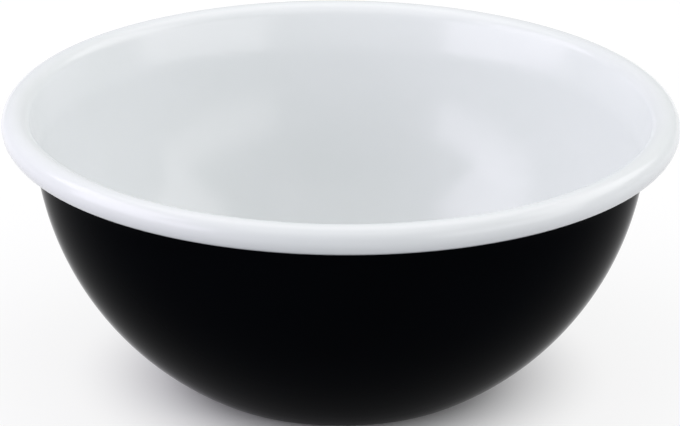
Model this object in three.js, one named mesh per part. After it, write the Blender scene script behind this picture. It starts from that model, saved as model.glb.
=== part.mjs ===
// Enamel bowl: a round bowl of pressed steel with a rolled rim, white inside and black outside.
// Sizes are in millimetres and angles in radians, with +Z up and the origin at the centre of the standing face.
import * as THREE from "three";

const RIM_DIAMETER = 240; // across the rolled rim
const HEIGHT = 101.5; // standing face to the top of the rim
const BASE_DIAMETER = 91; // flat standing face
const BASE_EDGE_RADIUS = 18; // outside, between the standing face and the wall
const RIM_OVERHANG = 11.3; // outer edge of the rim to the wall below it
const ROLL_HEIGHT = 10.4; // top to underside of the rolled rim
const ROLL_FLAT = 0.2; // upright part of the roll's outer side
const SHOULDER_SLOPE = THREE.MathUtils.degToRad(75); // inner side of the roll, against level
const NECK_RADIUS = 40; // white side of the bend from the wall into the shoulder
const CURL_RISE = THREE.MathUtils.degToRad(15); // how far the roll turns up again behind its underside
const CURL_GAP = 0.5; // coated edge of the curl to the black side of the shoulder
const STEEL_THICKNESS = 0.8;
const GROUND_COAT = 0.1;
const COVER_COAT = 0.2;
const BOND_LINE = 0.02; // between each coat and what it is fused to

const TURN_STEPS = 40;
const BASE_EDGE_STEPS = 2;
const WALL_STEPS = 6;
const NECK_STEPS = 1;
const SHOULDER_STEPS = 2;
const ROLL_STEPS = 3;
const CURL_STEPS = 1;

const STRAIGHT_UP = Math.PI / 2;
const STRAIGHT_DOWN = -Math.PI / 2;

// The layers of the sheet as depths below its white face, from the inside of the bowl outwards.
const INNER_GROUND_TOP = COVER_COAT + BOND_LINE;
const STEEL_TOP = INNER_GROUND_TOP + GROUND_COAT + BOND_LINE;
const OUTER_GROUND_TOP = STEEL_TOP + STEEL_THICKNESS + BOND_LINE;
const BLACK_TOP = OUTER_GROUND_TOP + GROUND_COAT + BOND_LINE;
const SHEET = BLACK_TOP + COVER_COAT;

// Half section of the bowl: x is the distance from the axis and y the height.
// Each bend is an arc that runs smoothly into the next, so a layer is the same arcs with other radii.
const wallReach = RIM_DIAMETER / 2 - RIM_OVERHANG;
const rollRadius = (ROLL_HEIGHT - ROLL_FLAT) / 2;
const rollTop = new THREE.Vector2(RIM_DIAMETER / 2 - rollRadius, HEIGHT - rollRadius);
const rollUnder = new THREE.Vector2(rollTop.x, rollTop.y - ROLL_FLAT);
const baseEdge = new THREE.Vector2(BASE_DIAMETER / 2, BASE_EDGE_RADIUS);

// The wall is one arc, upright at mid-height of the roll and tangent to the base edge.
const wallTopHeight = HEIGHT - ROLL_HEIGHT / 2;
const footInset = wallReach - baseEdge.x;
const footDrop = wallTopHeight - baseEdge.y;
const wallRadius =
  (footInset ** 2 + footDrop ** 2 - BASE_EDGE_RADIUS ** 2) / (2 * (footInset - BASE_EDGE_RADIUS));
const wallCentre = new THREE.Vector2(wallReach - wallRadius, wallTopHeight);
const wallFoot = baseEdge.clone().sub(wallCentre).angle() - 2 * Math.PI;

// The shoulder is a straight slope that touches the roll, and the neck bends from it into the wall.
const shoulderFacing = STRAIGHT_UP + SHOULDER_SLOPE;
const shoulderNormal = new THREE.Vector2(Math.cos(shoulderFacing), Math.sin(shoulderFacing));
const shoulderUphill = new THREE.Vector2(Math.cos(SHOULDER_SLOPE), Math.sin(SHOULDER_SLOPE));
const neckLine = rollTop.clone().addScaledVector(shoulderNormal, rollRadius - NECK_RADIUS);
const fromWall = neckLine.clone().sub(wallCentre);
const neckReach = wallRadius - SHEET + NECK_RADIUS;
const alongSlope = fromWall.dot(shoulderUphill);
const neckSlide = Math.sqrt(alongSlope ** 2 - fromWall.lengthSq() + neckReach ** 2) - alongSlope;
const neck = neckLine.clone().addScaledVector(shoulderUphill, neckSlide);
const wallHead = Math.asin((neck.y - wallCentre.y) / neckReach);

// The curl ends in a straight lip whose coated edge stops short of the shoulder's black side.
const lipFacing = STRAIGHT_DOWN - CURL_RISE;
const lipNormal = new THREE.Vector2(Math.cos(lipFacing), Math.sin(lipFacing));
const lipForward = new THREE.Vector2(-Math.cos(CURL_RISE), Math.sin(CURL_RISE));
const edgeCoat = BOND_LINE + GROUND_COAT + COVER_COAT;
const lipStart = rollUnder.clone().addScaledVector(lipNormal, rollRadius - SHEET);
const lipRoom = rollRadius - SHEET - CURL_GAP - lipStart.clone().sub(rollTop).dot(shoulderNormal);
const lipLength = lipRoom / lipForward.dot(shoulderNormal) - edgeCoat;

function arc(centre, radius, from, to, steps) {
  const clockwise = to < from;
  return new THREE.EllipseCurve(centre.x, centre.y, radius, radius, from, to, clockwise).getPoints(steps);
}

// A point at the cut edge of the sheet, at a depth below the white face and a distance past the steel.
function lipPoint(depth, past) {
  return rollUnder
    .clone()
    .addScaledVector(lipNormal, rollRadius - depth)
    .addScaledVector(lipForward, lipLength + past);
}

// One face of a layer, from the axis over the base, wall and roll to the cut edge.
function face(depth, past = 0) {
  const hollow = SHEET - depth;
  const bend = rollRadius - depth;
  return [
    new THREE.Vector2(0, hollow),
    ...arc(baseEdge, BASE_EDGE_RADIUS - hollow, STRAIGHT_DOWN, wallFoot, BASE_EDGE_STEPS),
    ...arc(wallCentre, wallRadius - hollow, wallFoot, wallHead, WALL_STEPS).slice(1),
    ...arc(neck, NECK_RADIUS - depth, wallHead + Math.PI, shoulderFacing, NECK_STEPS).slice(1),
    ...arc(rollTop, bend, shoulderFacing, STRAIGHT_UP, SHOULDER_STEPS),
    ...arc(rollTop, bend, STRAIGHT_UP, 0, ROLL_STEPS).slice(1),
    ...arc(rollUnder, bend, 0, STRAIGHT_DOWN, ROLL_STEPS),
    ...arc(rollUnder, bend, STRAIGHT_DOWN, lipFacing, CURL_STEPS).slice(1),
    lipPoint(depth, past),
  ];
}

// A layer turned round the axis of the bowl.
function turned(name, section, material) {
  const geometry = new THREE.LatheGeometry(section, TURN_STEPS);
  geometry.rotateX(Math.PI / 2);
  const mesh = new THREE.Mesh(geometry, new THREE.MeshStandardMaterial(material));
  mesh.name = name;
  return mesh;
}

function layer(name, depth, thickness, material) {
  return turned(name, [...face(depth + thickness), ...face(depth).reverse()], material);
}

const STEEL = { color: 0x9a9ca0, roughness: 0.4, metalness: 1 };
const GROUND = { color: 0x23272e, roughness: 0.35, metalness: 0 };
const WHITE = { color: 0xe9ecec, roughness: 0.15, metalness: 0 };
const BLACK = { color: 0x08090b, roughness: 0.15, metalness: 0 };

// The white coat also closes the cut edge of the sheet, across its whole thickness.
const whiteSection = [
  ...face(COVER_COAT, BOND_LINE),
  lipPoint(SHEET, BOND_LINE),
  lipPoint(SHEET, edgeCoat),
  ...face(0, edgeCoat).reverse(),
];

const bowl = new THREE.Group();
bowl.name = "enamel_bowl";
bowl.add(
  layer("steel_bowl", STEEL_TOP, STEEL_THICKNESS, STEEL),
  layer("inner_ground_coat", INNER_GROUND_TOP, GROUND_COAT, GROUND),
  layer("outer_ground_coat", OUTER_GROUND_TOP, GROUND_COAT, GROUND),
  turned("white_enamel", whiteSection, WHITE),
  layer("black_enamel", BLACK_TOP, COVER_COAT, BLACK),
);

export default bowl;
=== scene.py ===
# %% [markdown]
# # An enamel bowl, turned from its half section
# The real bowl is one disc of sheet steel, pressed deep and rolled over at the edge, with coats of glass
# fused to it: a thin dark ground coat all over, then white inside and over the roll, and black outside.
# This lesson loads the measured model as a frame, draws each coat's half section with bmesh operators,
# turns it round the axis, and gives every coat its own finish.

# %% Load the frame
import math

import bmesh
import bpy
from mathutils import Matrix, Vector


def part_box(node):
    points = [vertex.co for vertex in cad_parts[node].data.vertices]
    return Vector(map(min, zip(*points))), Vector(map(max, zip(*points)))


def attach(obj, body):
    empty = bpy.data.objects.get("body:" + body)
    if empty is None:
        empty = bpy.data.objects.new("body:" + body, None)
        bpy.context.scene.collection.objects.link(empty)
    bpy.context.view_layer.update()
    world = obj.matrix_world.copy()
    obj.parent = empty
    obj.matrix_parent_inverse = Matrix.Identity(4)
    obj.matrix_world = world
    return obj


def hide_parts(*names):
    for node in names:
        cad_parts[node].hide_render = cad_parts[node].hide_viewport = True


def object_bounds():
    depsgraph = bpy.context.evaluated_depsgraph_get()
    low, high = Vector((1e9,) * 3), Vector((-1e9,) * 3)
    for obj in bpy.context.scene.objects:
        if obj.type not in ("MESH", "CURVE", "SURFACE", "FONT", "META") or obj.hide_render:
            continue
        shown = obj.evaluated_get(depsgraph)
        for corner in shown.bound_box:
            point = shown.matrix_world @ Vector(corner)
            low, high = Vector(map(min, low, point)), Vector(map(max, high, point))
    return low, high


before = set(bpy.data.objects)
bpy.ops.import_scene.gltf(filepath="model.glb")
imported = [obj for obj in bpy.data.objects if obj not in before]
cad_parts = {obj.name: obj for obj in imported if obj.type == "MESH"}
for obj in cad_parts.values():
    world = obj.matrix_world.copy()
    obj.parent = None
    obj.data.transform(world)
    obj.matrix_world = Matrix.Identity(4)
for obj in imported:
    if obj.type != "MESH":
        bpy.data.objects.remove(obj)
cad_low, cad_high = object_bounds()
MM = 0.001
rim_radius = cad_high.x
height = cad_high.z
print("frame:", sorted(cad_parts))
print("rim radius", round(rim_radius / MM, 2), "mm, height", round(height / MM, 2), "mm")

# %% [markdown]
# ## The camera
# The picture of the bowl was taken from a little above, from far away, so the rim is a wide oval with
# hardly any perspective. A long lens far off gives the same drawing. The camera could be aimed with a
# constraint, but its three axes are written out here, because the picture is also turned by less than
# half a degree.

# %% Stand the camera where the picture was taken
PICTURE_WIDTH = 680
FOCAL_PIXELS = 5390
SENSOR = 36
CAMERA_ELEVATION = math.radians(21.22)
CAMERA_ROLL = math.radians(0.444)
CAMERA_RIM_RADII = 16
AIM_BELOW_RIM = 40.26 * MM

camera = bpy.data.objects.new("camera", bpy.data.cameras.new("camera"))
bpy.context.scene.collection.objects.link(camera)
camera.data.sensor_width = SENSOR
camera.data.lens = FOCAL_PIXELS * SENSOR / PICTURE_WIDTH
camera_distance = CAMERA_RIM_RADII * rim_radius
backwards = Vector((0, -math.cos(CAMERA_ELEVATION), math.sin(CAMERA_ELEVATION)))
level = Vector((1, 0, 0))
upright = backwards.cross(level)
rightwards = math.cos(CAMERA_ROLL) * level + math.sin(CAMERA_ROLL) * upright
upwards = math.cos(CAMERA_ROLL) * upright - math.sin(CAMERA_ROLL) * level
aim = Vector((0, 0, height - AIM_BELOW_RIM))
axes = Matrix((rightwards, upwards, backwards)).transposed()
camera.matrix_world = Matrix.Translation(aim + camera_distance * backwards) @ axes.to_4x4()
bpy.context.scene.camera = camera
print("camera: lens", round(camera.data.lens, 1), "mm, distance", round(camera_distance, 3), "m")

# %% [markdown]
# ## The half section
# Cut the bowl in half and its sheet is a chain of tangent bends: a flat base, a tight base edge, one long
# arc for the wall, a slow neck that bends back, a steep straight shoulder, and the roll, which turns over
# and under to a short lip. Every coat follows the same centres with its own radius, so the centres are
# worked out once. The width and height come from the frame, and so do the depths of the coats; the bends
# are named here.

# %% Sizes of the bends
BASE_RADIUS = 45.5 * MM
BASE_EDGE_RADIUS = 18 * MM
RIM_OVERHANG = 11.3 * MM
ROLL_HEIGHT = 10.4 * MM
ROLL_FLAT = 0.2 * MM
SHOULDER_SLOPE = math.radians(75)
NECK_RADIUS = 40 * MM
CURL_RISE = math.radians(15)
CURL_GAP = 0.5 * MM
SHEET = 1.48 * MM  # the steel and all its coats together
BOND_LINE = 0.02 * MM  # between each coat and what it is fused to
QUARTER = math.radians(90)
HALF_TURN = 2 * QUARTER
FULL_TURN = 4 * QUARTER


def depths(node):
    """How far below the white face of the sheet a coat begins and ends, from its box in the frame."""
    low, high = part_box(node)
    return rim_radius - high.x, SHEET - low.z


for name in sorted(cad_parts):
    print("depths in mm:", name, [round(depth / MM, 2) for depth in depths(name)])

# %% Where the centres of the base edge, wall and roll lie
wall_reach = rim_radius - RIM_OVERHANG
roll_radius = (ROLL_HEIGHT - ROLL_FLAT) / 2
roll_top = Vector((rim_radius - roll_radius, height - roll_radius))
roll_under = roll_top - Vector((0, ROLL_FLAT))
base_edge = Vector((BASE_RADIUS, BASE_EDGE_RADIUS))

wall_top = height - ROLL_HEIGHT / 2
foot_inset = wall_reach - base_edge.x
foot_drop = wall_top - base_edge.y
wall_span = foot_inset**2 + foot_drop**2 - BASE_EDGE_RADIUS**2
wall_radius = wall_span / (2 * (foot_inset - BASE_EDGE_RADIUS))
wall_centre = Vector((wall_reach - wall_radius, wall_top))
wall_foot = math.atan2(base_edge.y - wall_centre.y, base_edge.x - wall_centre.x)
print("wall radius", round(wall_radius / MM, 2), "mm, roll radius", round(roll_radius / MM, 2), "mm")

# %% Where the neck bends and the lip ends


def facing(angle):
    """A unit step in the plane of the section: 0 points outwards and a quarter turn points up."""
    return Vector((math.cos(angle), math.sin(angle)))


shoulder_facing = QUARTER + SHOULDER_SLOPE
neck_line = roll_top + (roll_radius - NECK_RADIUS) * facing(shoulder_facing)
from_wall = neck_line - wall_centre
neck_reach = wall_radius - SHEET + NECK_RADIUS
along_slope = from_wall.dot(facing(SHOULDER_SLOPE))
neck_slide = math.sqrt(along_slope**2 - from_wall.length_squared + neck_reach**2) - along_slope
neck = neck_line + neck_slide * facing(SHOULDER_SLOPE)
wall_head = math.asin((neck.y - wall_centre.y) / neck_reach)

lip_facing = -QUARTER - CURL_RISE
lip_forward = facing(lip_facing - QUARTER)
edge_coat = depths("steel_bowl")[0]
lip_start = roll_under + (roll_radius - SHEET) * facing(lip_facing)
lip_room = roll_radius - SHEET - CURL_GAP - (lip_start - roll_top).dot(facing(shoulder_facing))
lip_length = lip_room / lip_forward.dot(facing(shoulder_facing)) - edge_coat


def lip_point(depth, past):
    """A point at the cut edge, at a depth below the white face and a distance past the steel."""
    across = (roll_radius - depth) * facing(lip_facing)
    return roll_under + across + (lip_length + past) * lip_forward


wall_ends = [round(math.degrees(angle), 1) for angle in (wall_foot, wall_head)]
print("wall from", wall_ends[0], "to", wall_ends[1], "degrees, lip", round(lip_length / MM, 2), "mm long")

# %% [markdown]
# ## Three strokes
# A section can be typed in as a list of points, but a bend is easier to read as a move of the pencil.
# Spinning a single vertex about a centre leaves an arc of edges behind it, and extruding it leaves a
# straight line. So an outline is drawn with three strokes: start, line and bend. A trial bend shows which
# way is positive: a quarter turn from the right of its centre ends above it.

# %% Strokes that draw an outline
TRIAL_STEPS = 4


def start(outline, point):
    """Sets the pencil down at a point of the section: its distance from the axis and its height."""
    return outline.verts.new((point.x, 0, point.y))


def line(outline, tip, point):
    """Draws straight from the tip of the outline to a point, and returns the new tip."""
    end = bmesh.ops.extrude_vert_indiv(outline, verts=[tip])["verts"][0]
    end.co = (point.x, 0, point.y)
    return end


def bend(outline, tip, centre, turn, steps):
    """Swings the tip about a centre, anticlockwise where the turn is positive. Returns the new tip."""
    swung = bmesh.ops.spin(
        outline, geom=[tip], cent=(centre.x, 0, centre.y), axis=(0, -1, 0), angle=turn, steps=steps
    )
    return next(part for part in swung["geom_last"] if isinstance(part, bmesh.types.BMVert))


trial = bmesh.new()
trial_end = bend(trial, start(trial, facing(0)), Vector((0, 0)), QUARTER, TRIAL_STEPS)
print("a quarter bend ends at", [round(c, 3) for c in trial_end.co])
trial.free()

# %% One face of a coat
BASE_EDGE_STEPS = 8
WALL_STEPS = 36
NECK_STEPS = 10
ROLL_TOP_STEPS = 24
ROLL_UNDER_STEPS = 20


def draw_face(outline, depth, past=0.0):
    """Draws one face of a coat from the axis over base, wall and roll to the cut edge. Returns both ends."""
    hollow = SHEET - depth
    first = start(outline, Vector((0, hollow)))
    tip = line(outline, first, Vector((base_edge.x, hollow)))
    tip = bend(outline, tip, base_edge, wall_foot + QUARTER, BASE_EDGE_STEPS)
    tip = bend(outline, tip, wall_centre, wall_head - wall_foot, WALL_STEPS)
    tip = bend(outline, tip, neck, shoulder_facing - wall_head - HALF_TURN, NECK_STEPS)
    tip = line(outline, tip, roll_top + (roll_radius - depth) * facing(shoulder_facing))
    tip = bend(outline, tip, roll_top, -shoulder_facing, ROLL_TOP_STEPS)
    tip = line(outline, tip, roll_under + (roll_radius - depth) * facing(0))
    tip = bend(outline, tip, roll_under, lip_facing, ROLL_UNDER_STEPS)
    return first, line(outline, tip, lip_point(depth, past))


bend_steps = BASE_EDGE_STEPS + WALL_STEPS + NECK_STEPS + ROLL_TOP_STEPS + ROLL_UNDER_STEPS
print("each face has", bend_steps, "steps in its bends")

# %% Turn an outline round the axis
TURN_STEPS = 180
MERGE = 0.001 * MM
CREASE = math.radians(40)


def turn_round(outline, name):
    """Spins an outline once round the bowl's axis, closes its seam and poles, and makes it an object."""
    bmesh.ops.spin(
        outline, geom=outline.verts[:] + outline.edges[:], cent=(0, 0, 0), axis=(0, 0, 1),
        angle=FULL_TURN, steps=TURN_STEPS, use_merge=True,
    )
    bmesh.ops.remove_doubles(outline, verts=outline.verts[:], dist=MERGE)
    bmesh.ops.recalc_face_normals(outline, faces=outline.faces[:])
    open_edges = sum(not edge.is_manifold for edge in outline.edges)
    mesh = bpy.data.meshes.new(name)
    outline.to_mesh(mesh)
    outline.free()
    mesh.shade_smooth()
    mesh.set_sharp_from_angle(angle=CREASE)
    piece = bpy.data.objects.new(name, mesh)
    bpy.context.scene.collection.objects.link(piece)
    print(name, "has", len(mesh.polygons), "faces and", open_edges, "open edges")
    return piece


print("one turn has", TURN_STEPS, "steps")

# %% [markdown]
# ## The steel and its ground coats
# The sheet is 0.8 mm of mild steel. Before the colours go on, a dark glass that bonds well to steel is
# fired on both sides. None of this shows on a sound bowl, but it is what the bowl is made of, so each
# layer is its own closed shell: two faces drawn at two depths, joined at the cut edge and turned round
# the axis.

# %% Make the hidden layers


def turn_layer(name, node):
    """A layer of even thickness at the depths of its node in the frame."""
    near, far = depths(node)
    outline = bmesh.new()
    _, near_edge = draw_face(outline, near)
    _, far_edge = draw_face(outline, far)
    outline.edges.new((near_edge, far_edge))
    return turn_round(outline, name)


steel_sheet = turn_layer("steel_sheet", "steel_bowl")
inside_ground = turn_layer("inside_ground_coat", "inner_ground_coat")
outside_ground = turn_layer("outside_ground_coat", "outer_ground_coat")

# %% [markdown]
# ## The black coat
# The outside is dipped or sprayed black and fired. The coat runs under the base, up the wall and on into
# the hollow of the roll, because that face of the sheet is the same one. It is made as the layers above
# are.

# %% Make the black coat
black_coat = turn_layer("black_coat", "black_enamel")

# %% [markdown]
# ## The white coat
# The inside is white, and so is the roll, because the sheet is rolled outwards and its inner face ends up
# on top. Wet enamel draws back from a sharp edge and leaves a rounded bead there, so the white coat
# doesn't stop at the cut edge: it goes round it with two small bends and meets the black inside the roll.

# %% Make the white coat
EDGE_STEPS = 6
_, white_thickness = depths("white_enamel")
bead_radius = edge_coat - BOND_LINE

outline = bmesh.new()
_, tip = draw_face(outline, 0.0, BOND_LINE)
tip = bend(outline, tip, lip_point(bead_radius, BOND_LINE), -QUARTER, EDGE_STEPS)
tip = line(outline, tip, lip_point(SHEET - bead_radius, edge_coat))
tip = bend(outline, tip, lip_point(SHEET - bead_radius, BOND_LINE), -QUARTER, EDGE_STEPS)
_, inner_edge = draw_face(outline, white_thickness, BOND_LINE)
outline.edges.new((tip, inner_edge))
white_coat = turn_round(outline, "white_coat")

# %% [markdown]
# ## Fired glass
# The coats are all the same kind of surface: glass that melted and flowed. Close up it has a long,
# shallow ripple, and its thickness drifts a little, which shows as faint clouds in tone and gloss.
# A picture of enamel could be wrapped round the bowl, but noise on Object coordinates has no seams and no
# poles. Three finishes share the effect, so it is a node group with its own scales as inputs.

# %% The shared surface of fired glass
GLASS_NOISE = (
    # output, the input that scales it, detail, distortion
    ("Ripple", "Ripple Scale", 2, 0.0),
    ("Cloud", "Cloud Scale", 3, 0.0),
    ("Haze", "Ripple Scale", 5, 0.6),
)


def fill(node, values):
    """Sets several input sockets of a node by name."""
    for name, value in values.items():
        node.inputs[name].default_value = value


def fired_glass_group():
    """A node group that puts out the ripple's height and two slow drifts from 0 to 1."""
    group = bpy.data.node_groups.new("fired_glass", "ShaderNodeTree")
    for name in ("Ripple Scale", "Cloud Scale"):
        group.interface.new_socket(name, in_out="INPUT", socket_type="NodeSocketFloat")
    for name in ("Ripple", "Cloud", "Haze"):
        group.interface.new_socket(name, in_out="OUTPUT", socket_type="NodeSocketFloat")
    nodes, links = group.nodes, group.links
    sizes = nodes.new("NodeGroupInput")
    made = nodes.new("NodeGroupOutput")
    place = nodes.new("ShaderNodeTexCoord")
    for output, scale, detail, distortion in GLASS_NOISE:
        noise = nodes.new("ShaderNodeTexNoise")
        fill(noise, {"Detail": detail, "Distortion": distortion})
        links.new(place.outputs["Object"], noise.inputs["Vector"])
        links.new(sizes.outputs[scale], noise.inputs["Scale"])
        links.new(noise.outputs["Fac"], made.inputs[output])
    return group


fired_glass = fired_glass_group()
print("group fired_glass has", len(fired_glass.nodes), "nodes")

# %% A finish of fired glass
DRIFT_LOW = 0.3  # most of the noise lies between these two
DRIFT_HIGH = 0.7


def glass_finish(name, thin, thick, gloss, ripple_scale, cloud_scale, ripple_height):
    """Enamel whose tone drifts between two colours and whose roughness drifts between two values."""
    finish = bpy.data.materials.new(name)
    finish.use_nodes = True
    nodes, links = finish.node_tree.nodes, finish.node_tree.links
    surface = nodes["Principled BSDF"]
    drift = nodes.new("ShaderNodeGroup")
    drift.node_tree = fired_glass
    fill(drift, {"Ripple Scale": ripple_scale, "Cloud Scale": cloud_scale})

    tone = nodes.new("ShaderNodeValToRGB")
    stops = ((DRIFT_LOW, thin), (DRIFT_HIGH, thick))
    for element, (position, colour) in zip(tone.color_ramp.elements, stops):
        element.position = position
        element.color = (*colour, 1)
    links.new(drift.outputs["Cloud"], tone.inputs["Fac"])
    links.new(tone.outputs["Color"], surface.inputs["Base Color"])

    rough = nodes.new("ShaderNodeMapRange")
    fill(rough, {"From Min": DRIFT_LOW, "From Max": DRIFT_HIGH, "To Min": gloss[0], "To Max": gloss[1]})
    links.new(drift.outputs["Haze"], rough.inputs["Value"])
    links.new(rough.outputs["Result"], surface.inputs["Roughness"])

    bump = nodes.new("ShaderNodeBump")
    fill(bump, {"Strength": 1.0, "Distance": ripple_height})
    links.new(drift.outputs["Ripple"], bump.inputs["Height"])
    links.new(bump.outputs["Normal"], surface.inputs["Normal"])
    print("finish", name, "has roughness from", gloss[0], "to", gloss[1])
    return finish, surface


# %% [markdown]
# ## White, black, ground coat and steel
# The white is a cool white, a touch greyer where it is thin. The black is deep, with only a trace of
# blue. It mirrors little face on, which a low specular level gives, and its gloss shows at the sides,
# where the eye grazes it. The ground coat is a dark blue-grey glass, and the steel is matt from the acid
# bath that cleans it.

# %% Finish the white coat
RIPPLE_HEIGHT = 0.02 * MM
WHITE_IOR = 1.55
white_enamel, white_surface = glass_finish(
    "white_enamel", thin=(0.775, 0.80, 0.80), thick=(0.795, 0.815, 0.82), gloss=(0.16, 0.22),
    ripple_scale=90, cloud_scale=22, ripple_height=RIPPLE_HEIGHT,
)
fill(white_surface, {"IOR": WHITE_IOR})

# %% Finish the black coat
BLACK_IOR = 1.5
BLACK_SPECULAR = 0.005
black_enamel, black_surface = glass_finish(
    "black_enamel", thin=(0.0014, 0.0018, 0.0027), thick=(0.0011, 0.0014, 0.0021), gloss=(0.06, 0.1),
    ripple_scale=90, cloud_scale=22, ripple_height=RIPPLE_HEIGHT,
)
fill(black_surface, {"IOR": BLACK_IOR, "Specular IOR Level": BLACK_SPECULAR})

# %% Finish the ground coat
ground_glass, _ = glass_finish(
    "ground_glass", thin=(0.022, 0.026, 0.034), thick=(0.014, 0.017, 0.024), gloss=(0.25, 0.4),
    ripple_scale=240, cloud_scale=60, ripple_height=RIPPLE_HEIGHT,
)

# %% Finish the steel
BLOTCH_SCALE = 140
BLOTCH_DETAIL = 6


def steel_finish(name, dark, light, gloss):
    """Sheet steel as the acid bath leaves it: grey, matt and slightly blotched."""
    finish = bpy.data.materials.new(name)
    finish.use_nodes = True
    nodes, links = finish.node_tree.nodes, finish.node_tree.links
    surface = nodes["Principled BSDF"]
    fill(surface, {"Metallic": 1.0})
    place = nodes.new("ShaderNodeTexCoord")
    blotch = nodes.new("ShaderNodeTexNoise")
    fill(blotch, {"Scale": BLOTCH_SCALE, "Detail": BLOTCH_DETAIL})
    tone = nodes.new("ShaderNodeValToRGB")
    for element, colour in zip(tone.color_ramp.elements, (dark, light)):
        element.color = (*colour, 1)
    rough = nodes.new("ShaderNodeMapRange")
    fill(rough, {"To Min": gloss[0], "To Max": gloss[1]})
    links.new(place.outputs["Object"], blotch.inputs["Vector"])
    links.new(blotch.outputs["Fac"], tone.inputs["Fac"])
    links.new(blotch.outputs["Fac"], rough.inputs["Value"])
    links.new(tone.outputs["Color"], surface.inputs["Base Color"])
    links.new(rough.outputs["Result"], surface.inputs["Roughness"])
    print("finish", name, "has roughness from", gloss[0], "to", gloss[1])
    return finish


pickled_steel = steel_finish(
    "pickled_steel", dark=(0.30, 0.31, 0.33), light=(0.42, 0.43, 0.45), gloss=(0.35, 0.55)
)

# %% [markdown]
# ## Dress the frame
# Each new shell takes its finish, rides on the bowl's one body, and stands for its layer of the frame.

# %% Hand each piece its finish and its place in the frame
DRESS = (
    # piece, the layer that it stands for, material slot, finish
    (steel_sheet, "steel_bowl", "steel", pickled_steel),
    (inside_ground, "inner_ground_coat", "ground_coat", ground_glass),
    (outside_ground, "outer_ground_coat", "ground_coat", ground_glass),
    (white_coat, "white_enamel", "white_enamel", white_enamel),
    (black_coat, "black_enamel", "black_enamel", black_enamel),
)
for piece, node, slot, finish in DRESS:
    piece.data.materials.append(finish)
    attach(piece, "root")
    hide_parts(node)
    print(piece.name, "stands for", node, "in", finish.name)

# %% [markdown]
# ## Floor and surround
# The bowl stands on a plain white floor of matt paint, which keeps its shadow. To rays from the eye, and
# from a reflection or refraction, the paint is nearly pure white. To the light that it throws back at the
# bowl it is grey, because too much light from below would wash out the underside of the roll.
# A wide soft shadow would turn most of the picture grey. Away from the bowl, part of the white is
# therefore given straight to those same rays, and the shadow stays close to the foot.

# %% Mix the floor's paint
FLOOR_COLOUR = (0.42, 0.43, 0.45, 1)
FLOOR_SEEN = (0.98, 0.98, 0.98, 1)
FLOOR_GIVEN = 0.8
GIVEN_FROM = 45 * MM
GIVEN_FULL = 100 * MM


def seen_directly(nodes, links):
    """1 for rays from the eye, a reflection or a refraction, and 0 for light that other surfaces gather."""
    path = nodes.new("ShaderNodeLightPath")
    total = path.outputs["Is Camera Ray"]
    for kind in ("Is Glossy Ray", "Is Transmission Ray"):
        either = nodes.new("ShaderNodeMath")
        either.operation = "MAXIMUM"
        links.new(total, either.inputs[0])
        links.new(path.outputs[kind], either.inputs[1])
        total = either.outputs[0]
    return total


def white_share(nodes, links, seen):
    """How much of the white is given: none at the foot, more away from the axis, and only where seen."""
    place = nodes.new("ShaderNodeTexCoord")
    away = nodes.new("ShaderNodeVectorMath")
    away.operation = "LENGTH"
    share = nodes.new("ShaderNodeMapRange")
    share.interpolation_type = "SMOOTHSTEP"
    fill(share, {"From Min": GIVEN_FROM, "From Max": GIVEN_FULL, "To Max": FLOOR_GIVEN})
    both = nodes.new("ShaderNodeMath")
    both.operation = "MULTIPLY"
    links.new(place.outputs["Object"], away.inputs[0])
    links.new(away.outputs["Value"], share.inputs["Value"])
    links.new(seen, both.inputs[0])
    links.new(share.outputs["Result"], both.inputs[1])
    return both.outputs[0]


def white_floor():
    """Matt paint, whiter where it is seen than in the light that it throws back."""
    paint = bpy.data.materials.new("white_floor")
    paint.use_nodes = True
    nodes, links = paint.node_tree.nodes, paint.node_tree.links
    nodes.remove(nodes["Principled BSDF"])
    seen = seen_directly(nodes, links)
    tone = nodes.new("ShaderNodeMixRGB")
    fill(tone, {"Color1": FLOOR_COLOUR, "Color2": FLOOR_SEEN})
    matt = nodes.new("ShaderNodeBsdfDiffuse")
    given = nodes.new("ShaderNodeEmission")
    mix = nodes.new("ShaderNodeMixShader")
    links.new(seen, tone.inputs["Fac"])
    links.new(tone.outputs["Color"], matt.inputs["Color"])
    links.new(white_share(nodes, links, seen), mix.inputs["Fac"])
    links.new(matt.outputs["BSDF"], mix.inputs[1])
    links.new(given.outputs["Emission"], mix.inputs[2])
    links.new(mix.outputs["Shader"], nodes["Material Output"].inputs["Surface"])
    return paint


floor_paint = white_floor()
print("floor paint has", len(floor_paint.node_tree.nodes), "nodes")

# %% Lay the floor
FLOOR_WIDTH = 40.0
FLOOR_DROP = 0.1 * MM

ground = bmesh.new()
bmesh.ops.create_grid(ground, x_segments=1, y_segments=1, size=FLOOR_WIDTH / 2)
bmesh.ops.translate(ground, verts=ground.verts[:], vec=(0, 0, -FLOOR_DROP))
floor_mesh = bpy.data.meshes.new("floor")
ground.to_mesh(floor_mesh)
ground.free()
floor = bpy.data.objects.new("floor", floor_mesh)
floor.data.materials.append(floor_paint)
bpy.context.scene.collection.objects.link(floor)
print("floor:", FLOOR_WIDTH, "m wide")

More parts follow.
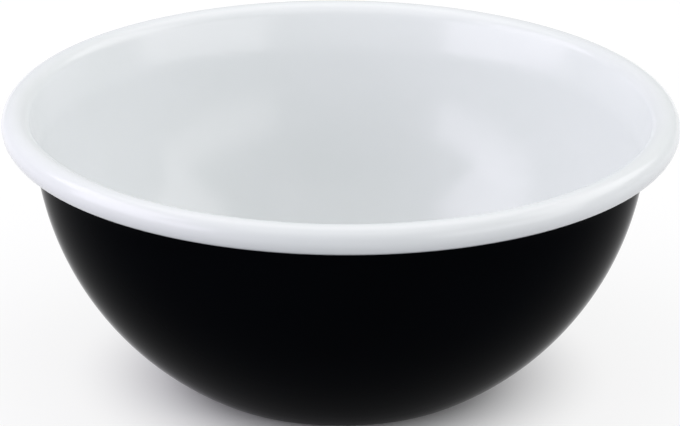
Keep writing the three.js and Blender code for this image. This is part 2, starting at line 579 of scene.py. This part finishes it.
# %% [markdown]
# ## Soft studio light
# Much of the light comes from all round, as in a white room. A wide soft box above, a little behind the
# bowl, gives the roll its bright line, and a weak one in front lights the far wall. Two on each side, one
# low and one high, leave the two pale patches inside. The left pair is the stronger one, with a trace of
# lilac, so the right of the inside is the paler side. One lamp would do to show the form, but its
# reflection would be a hard spot.

# %% Light the room
ROOM_LIGHT = 0.63
ROOM_TINT = (0.94, 0.98, 1, 1)
room = bpy.data.worlds.new("white_room")
bpy.context.scene.world = room
room.use_nodes = True
fill(room.node_tree.nodes["Background"], {"Color": ROOM_TINT, "Strength": ROOM_LIGHT})
print("room light", ROOM_LIGHT)

# %% Hang the soft boxes
WARM = (1, 0.94, 0.90)
ROSE = (1, 0.95, 0.97)
LILAC = (0.95, 0.88, 1)
SOFT_BOXES = (
    # name, degrees from the camera towards the right, degrees of elevation, metres wide and deep, watts, tint
    ("overhead", 180, 72, (1.4, 0.9), 3.0, WARM),
    ("front", 0, 60, (1.2, 0.6), 0.9, WARM),
    ("low_left", -68, 13, (1.3, 0.6), 5.3, LILAC),
    ("high_left", -90, 38, (1.1, 0.6), 4.3, LILAC),
    ("low_right", 56, 13, (1.3, 0.6), 3.6, ROSE),
    ("high_right", 104, 38, (1.3, 0.6), 3.8, ROSE),
)
BOX_DISTANCE = 1.3


def soft_box(name, azimuth, elevation, size, watts, tint):
    """Hangs an area light that faces the middle of the bowl."""
    across = math.radians(azimuth)
    rise = math.radians(elevation)
    reach = math.cos(rise)
    towards = Vector((math.sin(across) * reach, -math.cos(across) * reach, math.sin(rise)))
    lamp = bpy.data.lights.new(name, "AREA")
    lamp.shape = "RECTANGLE"
    lamp.size, lamp.size_y = size
    lamp.energy = watts
    lamp.color = tint
    box = bpy.data.objects.new(name, lamp)
    box.location = Vector((0, 0, height / 2)) + BOX_DISTANCE * towards
    box.rotation_mode = "QUATERNION"
    box.rotation_quaternion = towards.to_track_quat("Z", "Y")
    box.visible_camera = False
    bpy.context.scene.collection.objects.link(box)
    print("soft box", name, [round(c, 2) for c in box.location])


for settings in SOFT_BOXES:
    soft_box(*settings)
bpy.context.scene.view_settings.view_transform = "Standard"
